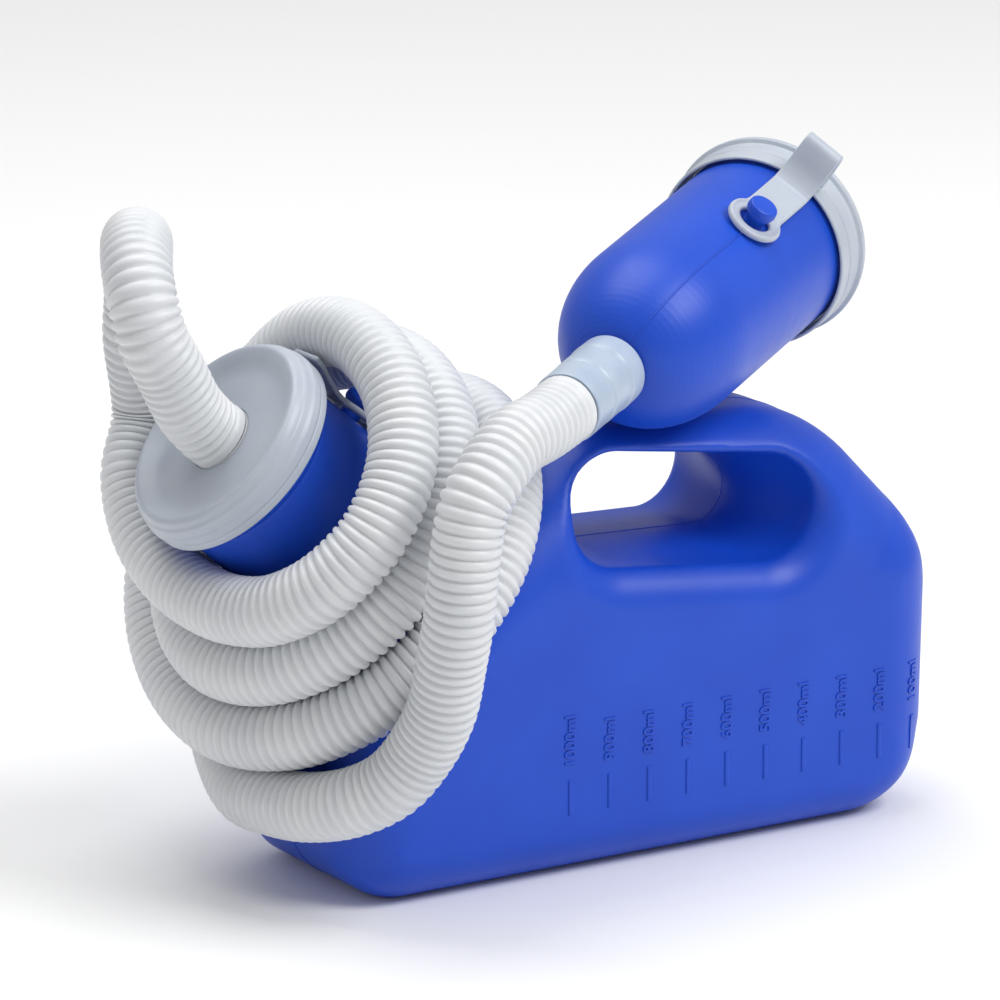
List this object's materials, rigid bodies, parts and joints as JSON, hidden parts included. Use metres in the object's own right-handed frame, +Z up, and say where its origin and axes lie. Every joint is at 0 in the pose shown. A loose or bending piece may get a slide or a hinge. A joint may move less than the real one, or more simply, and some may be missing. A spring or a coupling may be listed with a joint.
{
  "type": "urine bottle",
  "caption": "Portable urine bottle with a hand opening and volume marks, and a corrugated drain hose from its cap to a capped receiving cup.",
  "frame": {"origin": "centre of the flat base that the bottle stands on", "axes": "+Z up, +X towards the closed round end of the bottle, +Y to the back, away from the volume marks"},
  "size_m": [0.2985, 0.1847, 0.2328],
  "materials": {
    "blue_plastic": "satin",
    "milky_plastic": "satin, translucent",
    "white_hose": "satin",
    "clear_cuff": "satin, translucent",
    "seal_rubber": "matte"
  },
  "bodies": {
    "bottle": {"bottle_body": "blue_plastic", "bottle_cap_strap": "milky_plastic", "hose_inlet": "white_hose", "hose_coil": "white_hose", "hose_outlet": "white_hose"},
    "bottle_cap": {"bottle_cap": "milky_plastic", "bottle_cap_seal": "seal_rubber", "hose_collar": "white_hose"},
    "cup": {"cup_body": "blue_plastic", "hose_cuff": "clear_cuff", "cup_cap_strap": "milky_plastic"},
    "cup_cap": {"cup_cap": "milky_plastic", "cup_cap_seal": "seal_rubber"}
  },
  "joints": [
    {"name": "bottle_cap_pull", "type": "slide", "parent": "bottle", "child": "bottle_cap", "axis": [-0.749, 0, 0.6626], "range_m": [0, 0.02], "deforming": ["bottle_cap_strap", "hose_inlet"]},
    {"name": "cup_lift", "type": "hinge", "parent": "bottle", "child": "cup", "pos_m": [0, -0.07, 0.06], "axis": [1, 0, 0], "range_deg": [0, 30], "deforming": ["hose_outlet"]},
    {"name": "cup_cap_pull", "type": "slide", "parent": "cup", "child": "cup_cap", "axis": [0.8387, 0.5241, 0.1478], "range_m": [0, 0.03], "deforming": ["cup_cap_strap"]}
  ]
}
